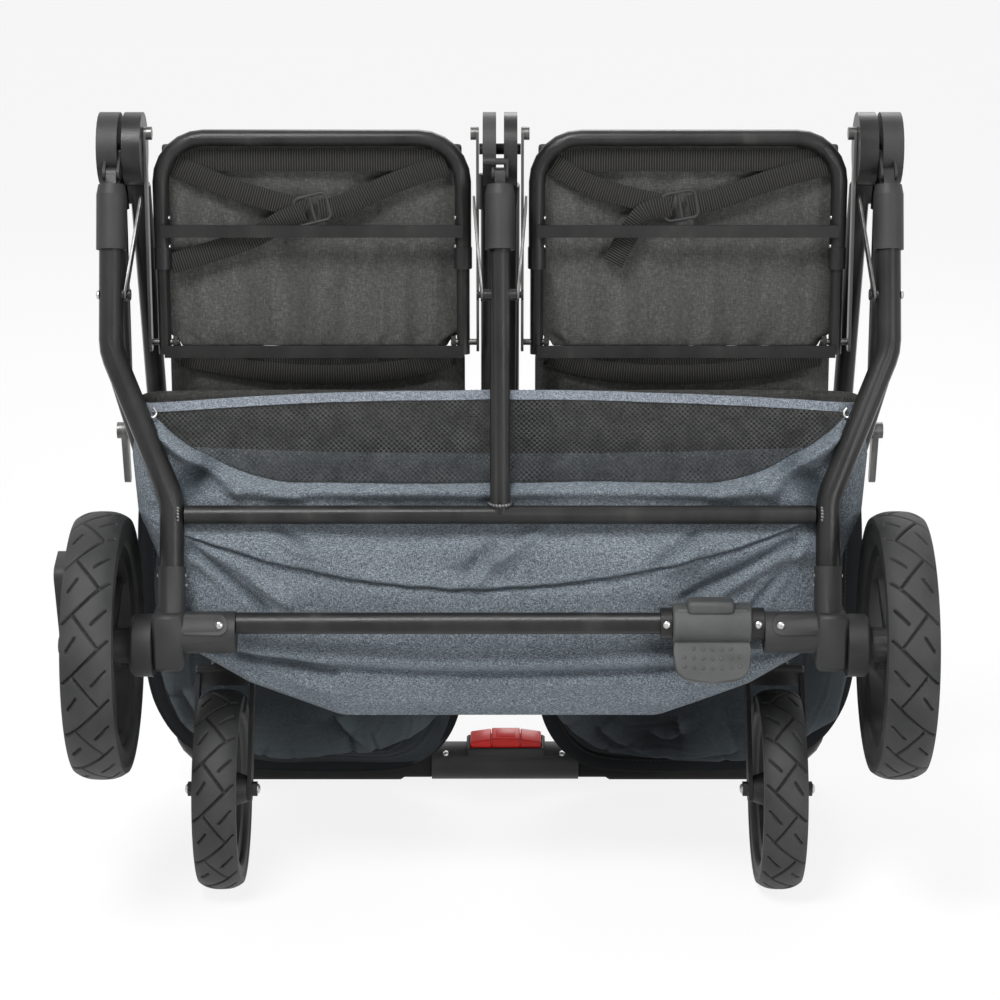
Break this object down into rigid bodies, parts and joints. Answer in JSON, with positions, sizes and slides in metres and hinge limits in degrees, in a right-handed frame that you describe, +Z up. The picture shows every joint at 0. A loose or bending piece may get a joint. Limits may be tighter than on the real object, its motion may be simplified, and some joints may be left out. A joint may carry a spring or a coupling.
{
  "type": "double stroller",
  "caption": "Side-by-side double stroller, folded and standing on its front wheels and handle.",
  "frame": {"origin": "centre of the folded stroller's footprint, on the floor", "axes": "+Z up, +X across the stroller, -Y towards the rear axle"},
  "size_m": [0.7715, 0.52, 0.7172],
  "materials": {
    "black_frame": "satin black powder coat",
    "grey_steel": "plated sheet steel and wire",
    "black_plastic": "moulded, fine texture",
    "wheel_plastic": "moulded, satin",
    "grey_plastic": "moulded, satin",
    "tyre": "foam tyre with a chevron tread",
    "grip_foam": "closed foam",
    "red_plastic": "gloss",
    "denim": "heathered blue grey weave",
    "canopy_cloth": "dark navy weave",
    "seat_cloth": "dark lining weave"
  },
  "bodies": {
    "front_frame": {"front_leg_left": "black_frame", "front_leg_right": "black_frame", "front_centre_frame": "black_frame", "hinge_housing_left": "black_plastic", "hinge_housing_centre": "black_plastic", "hinge_housing_right": "black_plastic", "seat_hanger_left_outer": "grey_steel", "seat_hanger_left_inner": "grey_steel", "seat_hanger_right_inner": "grey_steel", "seat_hanger_right_outer": "grey_steel", "caster_socket_left": "black_plastic", "caster_socket_right": "black_plastic", "footrest": "grey_plastic"},
    "rear_frame": {"rear_leg_left": "black_frame", "rear_leg_right": "black_frame", "rear_centre_frame": "black_frame", "rear_sleeve_left": "black_plastic", "rear_sleeve_centre": "black_plastic", "rear_sleeve_right": "black_plastic", "axle_housing_left": "black_plastic", "axle_housing_right": "black_plastic", "rear_axle_tube": "black_frame", "brake_drum_left": "grey_plastic", "brake_drum_right": "grey_plastic", "basket": "denim"},
    "seat_links": {"seat_link_left_outer": "grey_steel", "seat_link_left_inner": "grey_steel", "seat_link_right_inner": "grey_steel", "seat_link_right_outer": "grey_steel"},
    "brake_pedal": {"brake_pedal": "grey_plastic"},
    "storage_hook": {"storage_hook": "black_plastic"},
    "handle": {"handle_arm_left": "black_frame", "handle_arm_right": "black_frame", "handle_centre_post": "black_frame", "handle_crossbar": "black_frame", "handle_grip_left": "grip_foam", "handle_grip_right": "grip_foam", "trigger_case": "black_plastic"},
    "fold_trigger": {"fold_trigger": "red_plastic"},
    "rear_wheel_left": {"rear_tyre_left": "tyre", "rear_rim_left": "wheel_plastic"},
    "caster_left": {"caster_fork_left": "black_plastic"},
    "front_wheel_left": {"front_tyre_left": "tyre", "front_rim_left": "wheel_plastic"},
    "canopy_left": {"canopy_left": "canopy_cloth", "canopy_bow_left": "grey_steel"},
    "seat_back_left": {"back_frame_left": "black_frame", "seat_back_left": "seat_cloth"},
    "seat_base_left": {"seat_base_left": "seat_cloth"},
    "rear_wheel_right": {"rear_tyre_right": "tyre", "rear_rim_right": "wheel_plastic"},
    "caster_right": {"caster_fork_right": "black_plastic"},
    "front_wheel_right": {"front_tyre_right": "tyre", "front_rim_right": "wheel_plastic"},
    "canopy_right": {"canopy_right": "canopy_cloth", "canopy_bow_right": "grey_steel"},
    "seat_back_right": {"back_frame_right": "black_frame", "seat_back_right": "seat_cloth"},
    "seat_base_right": {"seat_base_right": "seat_cloth"}
  },
  "joints": [
    {"name": "handle_fold", "type": "hinge", "parent": "front_frame", "child": "handle", "pos_m": [0, 0, 0.68448], "axis": [1, 0, 0], "range_deg": [0, 138]},
    {"name": "rear_fold", "type": "hinge", "parent": "front_frame", "child": "rear_frame", "pos_m": [0, -0.036, 0.667], "axis": [1, 0, 0], "range_deg": [-59, 0], "deforming": ["basket"]},
    {"name": "seat_link_swing", "type": "hinge", "parent": "rear_frame", "child": "seat_links", "pos_m": [0, -0.06426, 0.5627], "axis": [1, 0, 0], "range_deg": [0, 8]},
    {"name": "brake_press", "type": "hinge", "parent": "rear_frame", "child": "brake_pedal", "pos_m": [0.1875, -0.141, 0.2813], "axis": [1, 0, 0], "range_deg": [0, 18]},
    {"name": "storage_hook_swing", "type": "hinge", "parent": "rear_frame", "child": "storage_hook", "pos_m": [-0.352, -0.141, 0.261], "axis": [1, 0, 0], "range_deg": [0, 30]},
    {"name": "trigger_squeeze", "type": "slide", "parent": "handle", "child": "fold_trigger", "axis": [0, 0.3397, -0.9405], "range_m": [0, 0.005], "stiffness_N_per_m": 600, "springref_m": -0.001},
    {"name": "rear_wheel_spin_left", "type": "hinge", "parent": "rear_frame", "child": "rear_wheel_left", "pos_m": [-0.352, -0.141, 0.261], "axis": [1, 0, 0], "continuous": true},
    {"name": "caster_swivel_left", "type": "hinge", "parent": "front_frame", "child": "caster_left", "pos_m": [-0.259, 0.0115, 0.19113], "axis": [0, -0.7771, -0.6293], "range_deg": [-90, 180]},
    {"name": "front_wheel_spin_left", "type": "hinge", "parent": "caster_left", "child": "front_wheel_left", "pos_m": [-0.259, -0.04929, 0.093], "axis": [1, 0, 0], "continuous": true},
    {"name": "canopy_open_left", "type": "hinge", "parent": "handle", "child": "canopy_left", "pos_m": [-0.3265, 0.10192, 0.40232], "axis": [1, 0, 0], "range_deg": [-115, 0]},
    {"name": "back_recline_left", "type": "hinge", "parent": "front_frame", "child": "seat_back_left", "pos_m": [-0.17085, 0, 0.508], "axis": [1, 0, 0], "range_deg": [-31, 29]},
    {"name": "seat_fold_left", "type": "hinge", "parent": "front_frame", "child": "seat_base_left", "pos_m": [-0.17125, 0, 0.508], "axis": [1, 0, 0], "range_deg": [0, 44]},
    {"name": "rear_wheel_spin_right", "type": "hinge", "parent": "rear_frame", "child": "rear_wheel_right", "pos_m": [0.352, -0.141, 0.261], "axis": [1, 0, 0], "continuous": true},
    {"name": "caster_swivel_right", "type": "hinge", "parent": "front_frame", "child": "caster_right", "pos_m": [0.259, 0.0115, 0.19113], "axis": [0, -0.7771, -0.6293], "range_deg": [-180, 90]},
    {"name": "front_wheel_spin_right", "type": "hinge", "parent": "caster_right", "child": "front_wheel_right", "pos_m": [0.259, -0.04929, 0.093], "axis": [1, 0, 0], "continuous": true},
    {"name": "canopy_open_right", "type": "hinge", "parent": "handle", "child": "canopy_right", "pos_m": [0.3265, 0.10192, 0.40232], "axis": [1, 0, 0], "range_deg": [-115, 0]},
    {"name": "back_recline_right", "type": "hinge", "parent": "front_frame", "child": "seat_back_right", "pos_m": [0.17085, 0, 0.508], "axis": [1, 0, 0], "range_deg": [-31, 29]},
    {"name": "seat_fold_right", "type": "hinge", "parent": "front_frame", "child": "seat_base_right", "pos_m": [0.17125, 0, 0.508], "axis": [1, 0, 0], "range_deg": [0, 44]}
  ],
  "couplings": [
    {"joint": "rear_fold", "follows": "handle_fold", "ratio": -0.427},
    {"joint": "seat_link_swing", "follows": "handle_fold", "ratio": 0.05},
    {"joint": "canopy_open_left", "follows": "handle_fold", "ratio": -0.833},
    {"joint": "seat_fold_left", "follows": "handle_fold", "ratio": 0.3188},
    {"joint": "canopy_open_right", "follows": "handle_fold", "ratio": -0.833},
    {"joint": "seat_fold_right", "follows": "handle_fold", "ratio": 0.3188}
  ]
}
